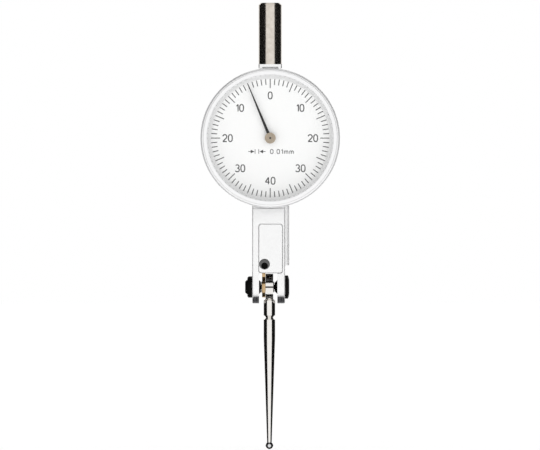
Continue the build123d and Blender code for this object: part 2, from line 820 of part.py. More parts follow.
# Screws that hold the frame's feet to the case back
with BuildPart() as frame_screws:
    with BuildSketch(facing(cavity_y + foot_screw_bite)):
        with Locations((frame_middle, 0)):
            with GridLocations(2 * foot_x, foot_screw_spacing, 2, 2):
                Circle(screw_diameter / 2)
    extrude(amount=foot_screw_bite + frame_plate)
    with BuildSketch(facing(cavity_y - frame_plate)):
        with Locations((frame_middle, 0)):
            with GridLocations(2 * foot_x, foot_screw_spacing, 2, 2):
                Circle(screw_head / 2)
    extrude(amount=screw_head_height)
    with BuildSketch(facing(cavity_y - frame_plate - screw_head_height)):
        with Locations((frame_middle, 0)):
            with GridLocations(2 * foot_x, foot_screw_spacing, 2, 2):
                Rectangle(screw_head, screw_slot)
    extrude(amount=-screw_slot_depth, mode=Mode.SUBTRACT)

# Bridge under the dial that holds the front pointer jewel on two posts
with BuildPart() as dial_bridge:
    with BuildSketch(facing(bridge_back_y)):
        SlotCenterToCenter(post_spacing, bridge_width, rotation=90)
    extrude(amount=bridge_thickness)
    with BuildSketch(facing(plate_front_y)):
        with GridLocations(0, post_spacing, 1, 2):
            Circle(post_diameter / 2)
    extrude(amount=post_length)
    with BuildSketch(facing(plate_front_y)):
        Circle(jewel_diameter / 2 + press_gap)
        with GridLocations(0, post_spacing, 1, 2):
            Circle(screw_diameter / 2 + running_gap)
    extrude(amount=post_length + bridge_thickness, mode=Mode.SUBTRACT)

with BuildPart() as bridge_screws:
    with BuildSketch(facing(plate_back_y)):
        with GridLocations(0, post_spacing, 1, 2):
            Circle(screw_diameter / 2)
    extrude(amount=plate_back_y - bridge_front_y)
    with BuildSketch(facing(bridge_front_y)):
        with GridLocations(0, post_spacing, 1, 2):
            Circle(screw_head / 2)
    extrude(amount=screw_head_height)
    with BuildSketch(facing(bridge_front_y - screw_head_height)):
        with GridLocations(0, post_spacing, 1, 2):
            Rectangle(screw_head, screw_slot)
    extrude(amount=-screw_slot_depth, mode=Mode.SUBTRACT)

# Jewel bearings, one at each end of the two arbors
with BuildPart() as crown_jewels:
    for jewel_x in (left_cheek_x - jewel_thickness, right_cheek_x):
        with BuildSketch(crown_side(jewel_x)):
            Circle(jewel_diameter / 2)
            Circle(crown_pivot / 2 + running_gap, mode=Mode.SUBTRACT)
    extrude(amount=jewel_thickness)

with BuildPart() as pointer_jewels:
    for jewel_y in (plate_back_y, bridge_back_y):
        with BuildSketch(facing(jewel_y)):
            Circle(jewel_diameter / 2)
            Circle(pointer_arbor_diameter / 2 + running_gap, mode=Mode.SUBTRACT)
    extrude(amount=jewel_thickness)

# Pointer arbor with its pinion, the collet of the hairspring, the hand and its boss
with BuildPart() as pointer_arbor:
    with BuildSketch(facing(pinion_back_y)):
        Circle(pointer_arbor_diameter / 2)
    extrude(amount=pinion_back_y - boss_front_y + running_gap)

with BuildPart() as pointer_pinion:
    with BuildSketch(facing(pinion_back_y)):
        Circle(pointer_pinion_radius - dedendum * crown_module)
        for leaf in range(pointer_leaves):
            leaf_angle = 90 + (leaf + 0.5) * 360 / pointer_leaves
            Polygon(*tooth(pointer_pinion_radius, crown_module, leaf_angle), align=None)
        Circle(pointer_arbor_diameter / 2 + press_gap, mode=Mode.SUBTRACT)
    extrude(amount=pointer_pinion_width)

with BuildPart() as hairspring_collet:
    with BuildSketch(facing(collet_back_y)):
        Circle(collet_diameter / 2)
        Circle(pointer_arbor_diameter / 2 + press_gap, mode=Mode.SUBTRACT)
    extrude(amount=collet_height)

with BuildPart() as pointer_hand:
    with BuildSketch(facing(hand_back_y)):
        Circle(pointer_ring / 2)
        with Locations(Location((0, 0, 0), (0, 0, rest_angle))):
            Polygon(
                (-pointer_root_width / 2, 0),
                (pointer_root_width / 2, 0),
                (pointer_tip_width / 2, pointer_length),
                (-pointer_tip_width / 2, pointer_length),
                align=None,
            )
        Circle(boss_tube / 2 + press_gap, mode=Mode.SUBTRACT)
    extrude(amount=pointer_thickness)

with BuildPart() as pointer_boss:
    with BuildSketch(facing(boss_back_y)):
        Circle(boss_diameter / 2)
    extrude(amount=boss_height)
    with BuildSketch(facing(boss_back_y)):
        Circle(boss_tube / 2)
    extrude(amount=-boss_tube_length)
    with BuildSketch(facing(boss_front_y)):
        Circle(pointer_arbor_diameter / 2 + press_gap)
    extrude(amount=-boss_height - boss_tube_length, mode=Mode.SUBTRACT)

# Hairspring that takes up the backlash, wound in half turns about two centres
half_step = hairspring_pitch / 2
inner_radius = collet_diameter / 2 + press_gap
half_turns = 2 * hairspring_turns + 1
outer_radius = inner_radius + (half_turns - 1) * half_step + hairspring_thickness
spring_back_y = collet_back_y - (collet_height - hairspring_height) / 2

with BuildPart() as hairspring:
    with BuildSketch(facing(spring_back_y)):
        for half in range(half_turns):
            inner = inner_radius + half * half_step
            outer = inner + hairspring_thickness
            middle_x = half_step * (half % 2)
            start = 180 * (half % 2)
            with BuildLine():
                inner_arc = CenterArc((middle_x, 0), inner, start, 180)
                outer_arc = CenterArc((middle_x, 0), outer, start, 180)
                Line(inner_arc @ 0, outer_arc @ 0)
                Line(inner_arc @ 1, outer_arc @ 1)
            make_face()
    extrude(amount=hairspring_height)

with BuildPart() as hairspring_anchor:
    with BuildSketch(facing(plate_front_y)):
        with Locations((-outer_radius - press_gap - hairspring_stud / 2, 0)):
            Rectangle(hairspring_stud, hairspring_stud)
    extrude(amount=plate_front_y - spring_back_y + hairspring_height)

# Bezel that turns on the case, with a ledge for the dial and a lip over the crystal
bead_dip = quarter_share * bezel_bead

with BuildPart() as bezel:
    with BuildSketch(dial_section):
        with BuildLine():
            bead = ThreePointArc(
                (bezel_radius, bezel_front_y + bezel_step + bezel_bead),
                (bezel_radius - bead_dip, bezel_front_y + bezel_step + bead_dip),
                (bezel_radius - bezel_bead, bezel_front_y + bezel_step),
            )
            Polyline(
                bead @ 1,
                (bezel_radius - bezel_bead, bezel_front_y),
                (opening_radius, bezel_front_y),
                (opening_radius, lip_y),
                (flange_radius + turn_gap, lip_y),
                (flange_radius + turn_gap, crystal_seat_y),
                (pocket_radius, crystal_seat_y),
                (pocket_radius, dial_seat_y),
                (ledge_radius, dial_seat_y),
                (ledge_radius, ledge_y),
                (skirt_radius, ledge_y),
                (skirt_radius, snap_y - snap_room),
                (snap_radius + snap_room, snap_y - snap_room),
                (snap_radius + snap_room, snap_y + snap_room),
                (skirt_radius, snap_y + snap_room),
                (skirt_radius, bezel_back_y),
                (bezel_radius, bezel_back_y),
                bead @ 0,
            )
        make_face()
    revolve(axis=dial_axis)

# Wire ring that snaps into the case and keeps the bezel on
with BuildPart() as snap_ring:
    with BuildSketch(dial_section):
        with Locations((snap_radius, snap_y)):
            Rectangle(snap_wire, snap_wire)
    revolve(axis=dial_axis, revolution_arc=360 - snap_split_angle)

with BuildPart() as dial_plate:
    with BuildSketch(facing(dial_seat_y)):
        Circle(dial_radius)
        Circle(dial_hole / 2, mode=Mode.SUBTRACT)
    extrude(amount=dial_thickness)

# Ring that holds the dial down, just clear of the crystal
with BuildPart() as dial_ring:
    with BuildSketch(dial_section):
        with BuildLine():
            Polyline(
                (dial_radius, dial_face_y),
                (dial_radius, crystal_seat_y + turn_gap),
                (dial_radius - dial_ring_top, crystal_seat_y + turn_gap),
                (dial_radius - dial_ring_foot, dial_face_y),
                close=True,
            )
        make_face()
    revolve(axis=dial_axis)

# Crystal with a rounded shoulder and a flange under the bezel's lip
wall_radius = opening_radius - turn_gap
shoulder_dip = quarter_share * crystal_shoulder

with BuildPart() as crystal:
    with BuildSketch(dial_section):
        with BuildLine():
            shoulder = ThreePointArc(
                (wall_radius - crystal_shoulder, crystal_top_y),
                (wall_radius - shoulder_dip, crystal_top_y + shoulder_dip),
                (wall_radius, crystal_top_y + crystal_shoulder),
            )
            Polyline(
                shoulder @ 1,
                (wall_radius, lip_y),
                (flange_radius, lip_y),
                (flange_radius, crystal_seat_y),
                (wall_radius - crystal_wall, crystal_seat_y),
                (wall_radius - crystal_wall, crystal_top_y + crystal_thickness),
                (0, crystal_top_y + crystal_thickness),
                (0, crystal_top_y),
                shoulder @ 0,
            )
        make_face()
    revolve(axis=dial_axis)

# Hand over every piece as its own file
pieces = {
    "housing": housing,
    "nose_cover": nose_cover,
    "stop_screw": stop_screw,
    "stem": stem,
    "stem_foot": stem_foot,
    "right_pivot_screw": right_pivot_screw,
    "left_pivot_screw": left_pivot_screw,
    "lock_nut": lock_nut,
    "lever_arm": lever_arm,
    "spindle": spindle,
    "spindle_collar": spindle_collar,
    "stylus_hub": stylus_hub,
    "stylus": stylus,
    "contact_ball": contact_ball,
    "crown_arbor": crown_arbor,
    "crown_wheel": crown_wheel,
    "movement_frame": movement_frame,
    "frame_screws": frame_screws,
    "dial_bridge": dial_bridge,
    "bridge_screws": bridge_screws,
    "crown_jewels": crown_jewels,
    "pointer_jewels": pointer_jewels,
    "pointer_arbor": pointer_arbor,
    "pointer_pinion": pointer_pinion,
    "hairspring_collet": hairspring_collet,
    "pointer_hand": pointer_hand,
    "pointer_boss": pointer_boss,
    "hairspring": hairspring,
    "hairspring_anchor": hairspring_anchor,
    "bezel": bezel,
    "snap_ring": snap_ring,
    "dial_plate": dial_plate,
    "dial_ring": dial_ring,
    "crystal": crystal,
}

os.makedirs("parts", exist_ok=True)
for label, piece in pieces.items():
    piece.part.label = label
    export_step(piece.part, f"parts/{label}.step")
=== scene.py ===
"""Dial test indicator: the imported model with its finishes, dial print, knurled bezel, studio and camera.

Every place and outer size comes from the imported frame, in metres. The origin is where the stem leaves its
foot, +Z runs up the stem and the dial faces -Y.
"""

import logging
from abc import ABC, abstractmethod
from dataclasses import dataclass, field
from enum import Enum
from math import copysign, cos, pi, radians, sin, tan, tau

import bmesh
import bpy
from mathutils import Matrix, Vector


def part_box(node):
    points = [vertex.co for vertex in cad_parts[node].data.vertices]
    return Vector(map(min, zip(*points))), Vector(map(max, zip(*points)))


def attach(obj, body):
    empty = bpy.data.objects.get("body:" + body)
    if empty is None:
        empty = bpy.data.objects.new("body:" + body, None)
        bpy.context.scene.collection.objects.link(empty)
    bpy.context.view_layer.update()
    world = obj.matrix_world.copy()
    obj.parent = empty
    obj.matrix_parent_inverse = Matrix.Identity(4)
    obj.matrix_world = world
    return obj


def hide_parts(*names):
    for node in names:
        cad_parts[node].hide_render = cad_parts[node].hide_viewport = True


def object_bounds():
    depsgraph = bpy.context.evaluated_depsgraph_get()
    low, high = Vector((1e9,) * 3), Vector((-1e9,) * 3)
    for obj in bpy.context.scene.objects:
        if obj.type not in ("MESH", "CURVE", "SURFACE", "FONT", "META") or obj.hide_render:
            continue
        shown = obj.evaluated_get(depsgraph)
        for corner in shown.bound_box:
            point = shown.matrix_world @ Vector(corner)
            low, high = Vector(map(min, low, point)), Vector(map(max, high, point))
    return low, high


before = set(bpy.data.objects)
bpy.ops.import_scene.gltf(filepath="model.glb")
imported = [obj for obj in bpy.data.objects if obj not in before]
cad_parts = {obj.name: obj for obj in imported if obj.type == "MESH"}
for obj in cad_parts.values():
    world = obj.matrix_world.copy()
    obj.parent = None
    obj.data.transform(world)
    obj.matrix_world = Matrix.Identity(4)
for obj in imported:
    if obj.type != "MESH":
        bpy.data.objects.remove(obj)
CAD_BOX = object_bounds()

MM = 0.001
WHITE = (1.0, 1.0, 1.0, 1.0)

# Distance in metres up to which corners are welded
WELD = 1e-7

# Angles in degrees from which an edge stays sharp
CREASE = 30.0
TURNED_CREASE = 35.0

# Fineness of a finish's noise, and the part of its range that it mostly fills
NOISE_DETAIL = 3.0
NOISE_REACH = (0.3, 0.7)

LOG = logging.getLogger("indicator")

Colour = tuple[float, float, float]
Pair = tuple[float, float]
Term = float | tuple[float, ...] | Vector | bpy.types.NodeSocket


def middle_of(node: str) -> Vector:
    """The middle of a node's box at rest."""
    low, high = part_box(node)
    return (low + high) / 2


DIAL_CENTRE = middle_of("bezel")
PIVOT_CENTRE = middle_of("lock_nut")
STYLUS_CENTRE = middle_of("contact_ball")
STOP_CENTRE = middle_of("stop_screw")
CROWN_CENTRE = middle_of("crown_wheel")


# Node trees


class Wiring:
    """A node tree whose nodes are added with their inputs filled."""

    def __init__(self, tree: bpy.types.NodeTree) -> None:
        """Takes the tree that the nodes go into."""
        self.tree = tree

    def node(self, kind: str, **inputs: Term) -> bpy.types.Node:
        """Adds a node and fills its inputs, whose names have _ for a space.

        Args:
            kind: The node's type.
            inputs: A number, a vector or another node's socket for each named input.

        Returns:
            The node.
        """
        made = self.tree.nodes.new(kind)
        self.fill(made, **inputs)
        return made

    def fill(self, node: bpy.types.Node, **inputs: Term) -> None:
        """Links or sets a node's inputs, whose names have _ for a space.

        Args:
            node: The node.
            inputs: A number, a vector or another node's socket for each named input.
        """
        for name, value in inputs.items():
            self._set(node.inputs[name.replace("_", " ")], value)

    def math(self, operation: str, *terms: Term) -> bpy.types.NodeSocket:
        """Adds a step of arithmetic on numbers."""
        return self._operate("ShaderNodeMath", operation, terms)

    def measure(self, operation: str, *terms: Term) -> bpy.types.NodeSocket:
        """Adds a step of arithmetic on vectors that gives a number."""
        return self._operate("ShaderNodeVectorMath", operation, terms)

    def vector(self, x: Term, y: Term, z: Term) -> bpy.types.NodeSocket:
        """Puts three numbers together as a vector."""
        return self.node("ShaderNodeCombineXYZ", X=x, Y=y, Z=z).outputs["Vector"]

    def parts(self, vector: bpy.types.NodeSocket) -> bpy.types.NodeOutputs:
        """Takes a vector apart into X, Y and Z."""
        return self.node("ShaderNodeSeparateXYZ", Vector=vector).outputs

    def coordinates(self, kind: str) -> bpy.types.NodeSocket:
        """Texture coordinates of one kind."""
        return self.node("ShaderNodeTexCoord").outputs[kind]

    def ramp(
        self, value: bpy.types.NodeSocket, reach: Pair, result: Pair = (0.0, 1.0), soft: bool = False
    ) -> bpy.types.NodeSocket:
        """Stretches a range of a value to another range, and stops at its ends.

        Args:
            value: The value.
            reach: Where its range starts and ends.
            result: What the result starts and ends at.
            soft: Whether the result eases in and out.

        Returns:
            The socket with the result.
        """
        made = self.node("ShaderNodeMapRange", Value=value)
        made.interpolation_type = "SMOOTHSTEP" if soft else "LINEAR"
        self.fill(made, From_Min=reach[0], From_Max=reach[1], To_Min=result[0], To_Max=result[1])
        return made.outputs["Result"]

    def mix(
        self, share: bpy.types.NodeSocket, first: Term, second: Term, kind: str = "RGBA"
    ) -> bpy.types.NodeSocket:
        """Blends two colours or numbers.

        Args:
            share: 0 for the first, 1 for the second.
            first: The first colour or number.
            second: The second one.
            kind: RGBA for colours, FLOAT for numbers.

        Returns:
            The socket with the blend.
        """
        made = self.tree.nodes.new("ShaderNodeMix")
        made.data_type = kind
        self.fill(made, Factor=share, A=first, B=second)
        return made.outputs["Result"]

    def _operate(self, kind: str, operation: str, terms: tuple[Term, ...]) -> bpy.types.NodeSocket:
        """Adds a step of arithmetic.

        Args:
            kind: The node's type.
            operation: What the step does.
            terms: The numbers, vectors or sockets that it takes.

        Returns:
            The socket with the number that it gives.
        """
        made = self.tree.nodes.new(kind)
        made.operation = operation
        for place, term in enumerate(terms):
            self._set(made.inputs[place], term)
        return made.outputs["Value"]

    def _set(self, socket: bpy.types.NodeSocket, value: Term) -> None:
        """Links or sets one input.

        Args:
            socket: The input.
            value: A number, a vector or another node's socket.
        """
        if isinstance(value, bpy.types.NodeSocket):
            self.tree.links.new(value, socket)
        else:
            socket.default_value = value


def node_material(name: str) -> bpy.types.Material:
    """Makes a new material with a node tree.

    Args:
        name: Its name.

    Returns:
        The material.
    """
    made = bpy.data.materials.new(name)
    made.use_nodes = True
    return made


# Finishes


class Grain(Enum):
    """How the fine marks of a finish run: in clouds, or round an axis, which comes first in its value."""

    CLOUDED = ""
    TURNED_X = "XYZ"
    TURNED_Y = "YXZ"
    TURNED_Z = "ZXY"


@dataclass(frozen=True)
class Finish:
    """One finish: two tones that its marks and clouds vary between, its gloss and its relief."""

    name: str
    slot: str
    light: Colour
    dark: Colour
    metallic: float
    smooth: float
    rough: float
    grain: Grain = Grain.CLOUDED
    centre: tuple[float, float, float] = (0.0, 0.0, 0.0)
    pitch: float = 0.3 * MM
    relief: float = 0.1
    specular: float = 0.5
    clear: float = 0.0
    ior: float = 1.5
    marks_per_cloud: float = 9.0
    cloud_share: float = 0.5
    pitch_to_depth: float = 10.0

    def material(self) -> bpy.types.Material:
        """Makes the node material, or finds it when it was made before.

        Returns:
            The material of this finish.
        """
        known = bpy.data.materials.get(self.name)
        if known is not None:
            return known
        made = node_material(self.name)
        self._wire(Wiring(made.node_tree))
        return made

    def _wire(self, wiring: Wiring) -> None:
        """Fills the material's tree.

        Args:
            wiring: The tree.
        """
        shader = wiring.tree.nodes["Principled BSDF"]
        marks = self._noise(wiring, self.pitch)
        clouds = self._noise(wiring, self.marks_per_cloud * self.pitch)
        clouds = wiring.ramp(clouds, NOISE_REACH, (0.0, self.cloud_share))
        share = wiring.math("MULTIPLY_ADD", marks, 1.0 - self.cloud_share, clouds)
        wiring.fill(
            shader,
            Base_Color=wiring.mix(share, (*self.dark, 1.0), (*self.light, 1.0)),
            Metallic=self.metallic,
            Roughness=wiring.ramp(marks, NOISE_REACH, (self.smooth, self.rough)),
            IOR=self.ior,
            Specular_IOR_Level=self.specular,
            Transmission_Weight=self.clear,
        )
        if self.relief:
            depth = self.pitch / self.pitch_to_depth
            bump = wiring.node("ShaderNodeBump", Strength=self.relief, Distance=depth, Height=marks)
            wiring.fill(shader, Normal=bump.outputs["Normal"])

    def _noise(self, wiring: Wiring, size: float) -> bpy.types.NodeSocket:
        """Noise of one mark size that runs the way of the grain.

        Args:
            wiring: The material's tree.
            size: Width of one mark in metres.

        Returns:
            The socket with the noise, from 0 to 1.
        """
        place = wiring.node(
            "ShaderNodeMapping", Vector=wiring.coordinates("Object"), Location=-Vector(self.centre)
        )
        where = place.outputs["Vector"]
        if self.grain is not Grain.CLOUDED:
            where = self._round(wiring, where)
        noise = wiring.node("ShaderNodeTexNoise", Vector=where, Scale=1 / size, Detail=NOISE_DETAIL)
        return noise.outputs["Fac"]

    def _round(self, wiring: Wiring, where: bpy.types.NodeSocket) -> bpy.types.NodeSocket:
        """Distance from the turning axis and place along it, so that marks run round that axis.

        Args:
            wiring: The material's tree.
            where: The centred coordinates.

        Returns:
            The socket with the turned coordinates.
        """
        parts = wiring.parts(where)
        along, first, second = self.grain.value
        away = wiring.measure("LENGTH", wiring.vector(parts[first], parts[second], 0.0))
        return wiring.vector(away, parts[along], 0.0)


@dataclass(frozen=True)
class ForkFinish(Finish):
    """A finish with painted shade, dark and streaked along Z, where low faces turn downwards."""

    # Where the painted shade starts, how far down a face must turn to take it, and its streaked tones
    ground_top: float = PIVOT_CENTRE.z + 4.2 * MM
    ground_depth: float = 0.4 * MM
    ground_facing: Pair = (-0.5, -0.62)
    ground_light: Colour = (0.19, 0.19, 0.20)
    ground_dark: Colour = (0.03, 0.03, 0.034)
    streak: float = 0.28 * MM

    def _wire(self, wiring: Wiring) -> None:
        """Paints the shade over the plain finish, on low faces that turn downwards.

        Args:
            wiring: The material's tree.
        """
        super()._wire(wiring)
        shader = wiring.tree.nodes["Principled BSDF"]
        plain = shader.inputs["Base Color"].links[0].from_socket
        place = wiring.parts(wiring.coordinates("Object"))
        facing = wiring.parts(wiring.coordinates("Normal"))
        # Painted shade: low faces that turn downwards are darkened
        low = wiring.ramp(place["Z"], (self.ground_top, self.ground_top - self.ground_depth))
        ground = wiring.math("MULTIPLY", low, wiring.ramp(facing["Z"], self.ground_facing))
        across = wiring.vector(place["X"], 0.0, 0.0)
        streaks = wiring.node("ShaderNodeTexNoise", Vector=across, Scale=1 / self.streak)
        share = wiring.ramp(streaks.outputs["Fac"], NOISE_REACH)
        shade_tone = wiring.mix(share, (*self.ground_dark, 1.0), (*self.ground_light, 1.0))
        wiring.fill(shader, Base_Color=wiring.mix(ground, plain, shade_tone))


# Each one's name, slot, light tone, dark tone, metallic share and roughness from smooth to rough
SATIN_CHROME = ForkFinish(
    "satin_chrome_blasted", "satin_chrome", (0.965, 0.965, 0.965), (0.935, 0.935, 0.935), 0.65, 0.36, 0.44,
    pitch=0.12 * MM, relief=0.015,
)
FOOT_CHROME = Finish(
    "satin_chrome_foot", "satin_chrome", (0.975, 0.975, 0.97), (0.95, 0.95, 0.945), 0.85, 0.12, 0.2,
    pitch=0.12 * MM, relief=0.015,
)
TURNED_CHROME = Finish(
    "satin_chrome_turned", "satin_chrome", (0.95, 0.95, 0.95), (0.89, 0.89, 0.90), 0.5, 0.28, 0.38,
    grain=Grain.TURNED_Y, centre=tuple(DIAL_CENTRE), pitch=0.12 * MM,
)
GROUND_STEEL = Finish(
    "steel_ground", "polished_steel", (0.84, 0.785, 0.72), (0.55, 0.495, 0.43), 1.0, 0.13, 0.2,
    pitch=0.16 * MM, relief=0.06,
)
STYLUS_STEEL = Finish(
    "steel_polished_stylus", "polished_steel", (0.92, 0.90, 0.87), (0.84, 0.82, 0.79), 1.0, 0.06, 0.13,
    grain=Grain.TURNED_Z, centre=tuple(STYLUS_CENTRE), pitch=0.1 * MM, relief=0.05,
)
HUB_STEEL = Finish(
    "steel_polished_hub", "polished_steel", (0.92, 0.90, 0.87), (0.82, 0.80, 0.78), 1.0, 0.08, 0.16,
    grain=Grain.TURNED_X, centre=tuple(PIVOT_CENTRE), pitch=0.1 * MM, relief=0.05,
)
PLAIN_STEEL = Finish(
    "steel_plain", "plain_steel", (0.58, 0.58, 0.57), (0.48, 0.48, 0.48), 1.0, 0.2, 0.34, pitch=0.15 * MM
)
PIVOT_STEEL = Finish(
    "steel_plain_pivot", "plain_steel", (0.12, 0.12, 0.12), (0.07, 0.07, 0.07), 1.0, 0.24, 0.36,
    grain=Grain.TURNED_X, centre=tuple(PIVOT_CENTRE), pitch=0.1 * MM,
)
# Near black for the arbor's end: painted shade of the pivot hole
ARBOR_SHADE_STEEL = Finish(
    "steel_arbor_painted_shade", "plain_steel", (0.030, 0.028, 0.027), (0.016, 0.015, 0.015), 1.0, 0.3, 0.42,
    grain=Grain.TURNED_Y, centre=tuple(DIAL_CENTRE), pitch=0.08 * MM,
)
SPRING_STEEL = Finish(
    "steel_blued", "spring_steel", (0.16, 0.19, 0.30), (0.09, 0.11, 0.19), 1.0, 0.2, 0.3, pitch=0.2 * MM
)
BLACK_OXIDE = Finish(
    "black_oxide_screws", "black_oxide", (0.006, 0.006, 0.0055), (0.003, 0.003, 0.003), 0.0, 0.32, 0.5,
    grain=Grain.TURNED_X, centre=tuple(PIVOT_CENTRE), pitch=0.12 * MM, specular=0.04,
)
BLACK_STOP = Finish(
    "black_oxide_stop", "black_oxide", (0.070, 0.070, 0.071), (0.040, 0.040, 0.040), 0.0, 0.2, 0.32,
    grain=Grain.TURNED_Y, centre=tuple(STOP_CENTRE), pitch=0.1 * MM, specular=1.0,
)
# Near black for the disc in the stop screw's recess: painted shade
RECESS_SHADE = Finish(
    "black_recess_painted_shade", "black_paint", (0.004, 0.004, 0.004), (0.002, 0.002, 0.002), 0.0, 0.5, 0.65,
    pitch=0.1 * MM, relief=0.05, specular=0.05,
)
BLACK_PAINT = Finish(
    "black_paint_hand", "black_paint", (0.007, 0.007, 0.007), (0.003, 0.003, 0.003), 0.0, 0.5, 0.65,
    pitch=0.15 * MM, specular=0.1,
)
LEVER_BRASS = Finish(
    "brass_lever", "brass", (0.68, 0.49, 0.28), (0.49, 0.33, 0.17), 1.0, 0.16, 0.28,
    grain=Grain.TURNED_X, centre=tuple(PIVOT_CENTRE), pitch=0.1 * MM,
)
BOSS_BRASS = Finish(
    "brass_boss", "brass", (0.54, 0.45, 0.35), (0.44, 0.36, 0.27), 1.0, 0.3, 0.42,
    grain=Grain.TURNED_Y, centre=tuple(DIAL_CENTRE), pitch=0.12 * MM,
)
FRAME_BRASS = Finish(
    "brass_frame", "brass", (0.80, 0.62, 0.36), (0.66, 0.49, 0.27), 1.0, 0.26, 0.4, pitch=0.2 * MM
)
CROWN_BRASS = Finish(
    "brass_crown", "brass", (0.82, 0.64, 0.38), (0.68, 0.50, 0.28), 1.0, 0.2, 0.32,
    grain=Grain.TURNED_X, centre=tuple(CROWN_CENTRE), pitch=0.1 * MM,
)
RUBY = Finish(
    "ruby_jewel", "ruby", (0.62, 0.04, 0.10), (0.45, 0.02, 0.06), 0.0, 0.05, 0.1,
    pitch=0.2 * MM, relief=0.0, clear=0.4, ior=1.76,
)
CARBIDE = Finish(
    "carbide_ball", "carbide", (0.80, 0.80, 0.81), (0.68, 0.68, 0.69), 1.0, 0.06, 0.12,
    pitch=0.1 * MM, relief=0.02,
)
DIAL_WHITE = Finish(
    "dial_white_paint", "dial_white", (0.955, 0.955, 0.95), (0.925, 0.925, 0.92), 0.0, 0.55, 0.7,
    pitch=0.2 * MM, relief=0.05, specular=0.3,
)
DIAL_INK = Finish(
    "dial_ink", "black_paint", (0.075, 0.075, 0.078), (0.050, 0.050, 0.052), 0.0, 0.55, 0.7,
    pitch=0.1 * MM, relief=0.05, specular=0.2,
)
RING_SILVER = Finish(
    "ring_turned", "ring_silver", (0.81, 0.81, 0.81), (0.73, 0.73, 0.73), 0.2, 0.4, 0.55,
    grain=Grain.TURNED_Y, centre=tuple(DIAL_CENTRE), pitch=0.1 * MM,
)
CRYSTAL = Finish(
    "crystal_clear", "crystal", (0.995, 0.995, 0.995), (0.985, 0.99, 0.99), 0.0, 0.0, 0.012,
    pitch=1.0 * MM, relief=0.0, clear=1.0, ior=1.3, specular=0.08,
)


def add_piece(name: str, mesh: bpy.types.Mesh, finish: Finish, body: str) -> bpy.types.Object:
    """Puts a finished mesh into the scene as a piece that rides on a body.

    Args:
        name: The piece's name.
        mesh: Its mesh, in place.
        finish: Its finish.
        body: The body that it moves with.

    Returns:
        The piece's object.
    """
    mesh.name = name
    mesh.materials.clear()
    mesh.materials.append(finish.material())
    piece = bpy.data.objects.new(name, mesh)
    bpy.context.scene.collection.objects.link(piece)
    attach(piece, body)
    LOG.info("%s: %d faces, %s, rides on %s", name, len(mesh.polygons), finish.name, body)
    return piece


def dress_nodes(finish: Finish, *names: str) -> None:
    """Gives nodes of the frame a finish.

    Args:
        finish: The finish.
        names: The nodes.
    """
    for name in names:
        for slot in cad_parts[name].material_slots:
            slot.material = finish.material()
        LOG.info("%s: %s", name, finish.name)


# Shapes


def lathe(outline: list[Pair], centre: Vector, segments: int) -> bpy.types.Mesh:
    """Turns a closed outline about an axis that runs along Y.

    Args:
        outline: Corners as radius and Y.
        centre: A point on the axis.
        segments: Steps round the axis.

    Returns:
        The turned mesh.
    """
    shape = bmesh.new()
    rings = []
    for step in range(segments):
        angle = tau * step / segments
        ring = [
            shape.verts.new((centre.x + radius * sin(angle), y, centre.z + radius * cos(angle)))
            for radius, y in outline
        ]
        rings.append(ring)
    for step, ring in enumerate(rings):
        other = rings[(step + 1) % segments]
        for here in range(len(outline)):
            there = (here + 1) % len(outline)
            shape.faces.new((ring[here], ring[there], other[there], other[here]))
    bmesh.ops.remove_doubles(shape, verts=shape.verts, dist=WELD)
    bmesh.ops.recalc_face_normals(shape, faces=shape.faces)
    return finished(shape, TURNED_CREASE)


def finished(shape: bmesh.types.BMesh, crease: float = CREASE) -> bpy.types.Mesh:
    """A plain mesh from a shape, smooth up to an angle.

    Args:
        shape: The shape, which is freed.
        crease: Angle in degrees from which an edge stays sharp.

    Returns:
        The mesh.
    """
    mesh = bpy.data.meshes.new("shape")
    shape.to_mesh(mesh)
    shape.free()
    mesh.polygons.foreach_set("use_smooth", [True] * len(mesh.polygons))
    mesh.set_sharp_from_angle(angle=radians(crease))
    return mesh


def joined(meshes: list[bpy.types.Mesh]) -> bpy.types.Mesh:
    """One mesh from several, which are removed.

    Args:
        meshes: The meshes, in place.

    Returns:
        The joined mesh.
    """
    shape = bmesh.new()
    for mesh in meshes:
        shape.from_mesh(mesh)
        bpy.data.meshes.remove(mesh)
    return finished(shape)


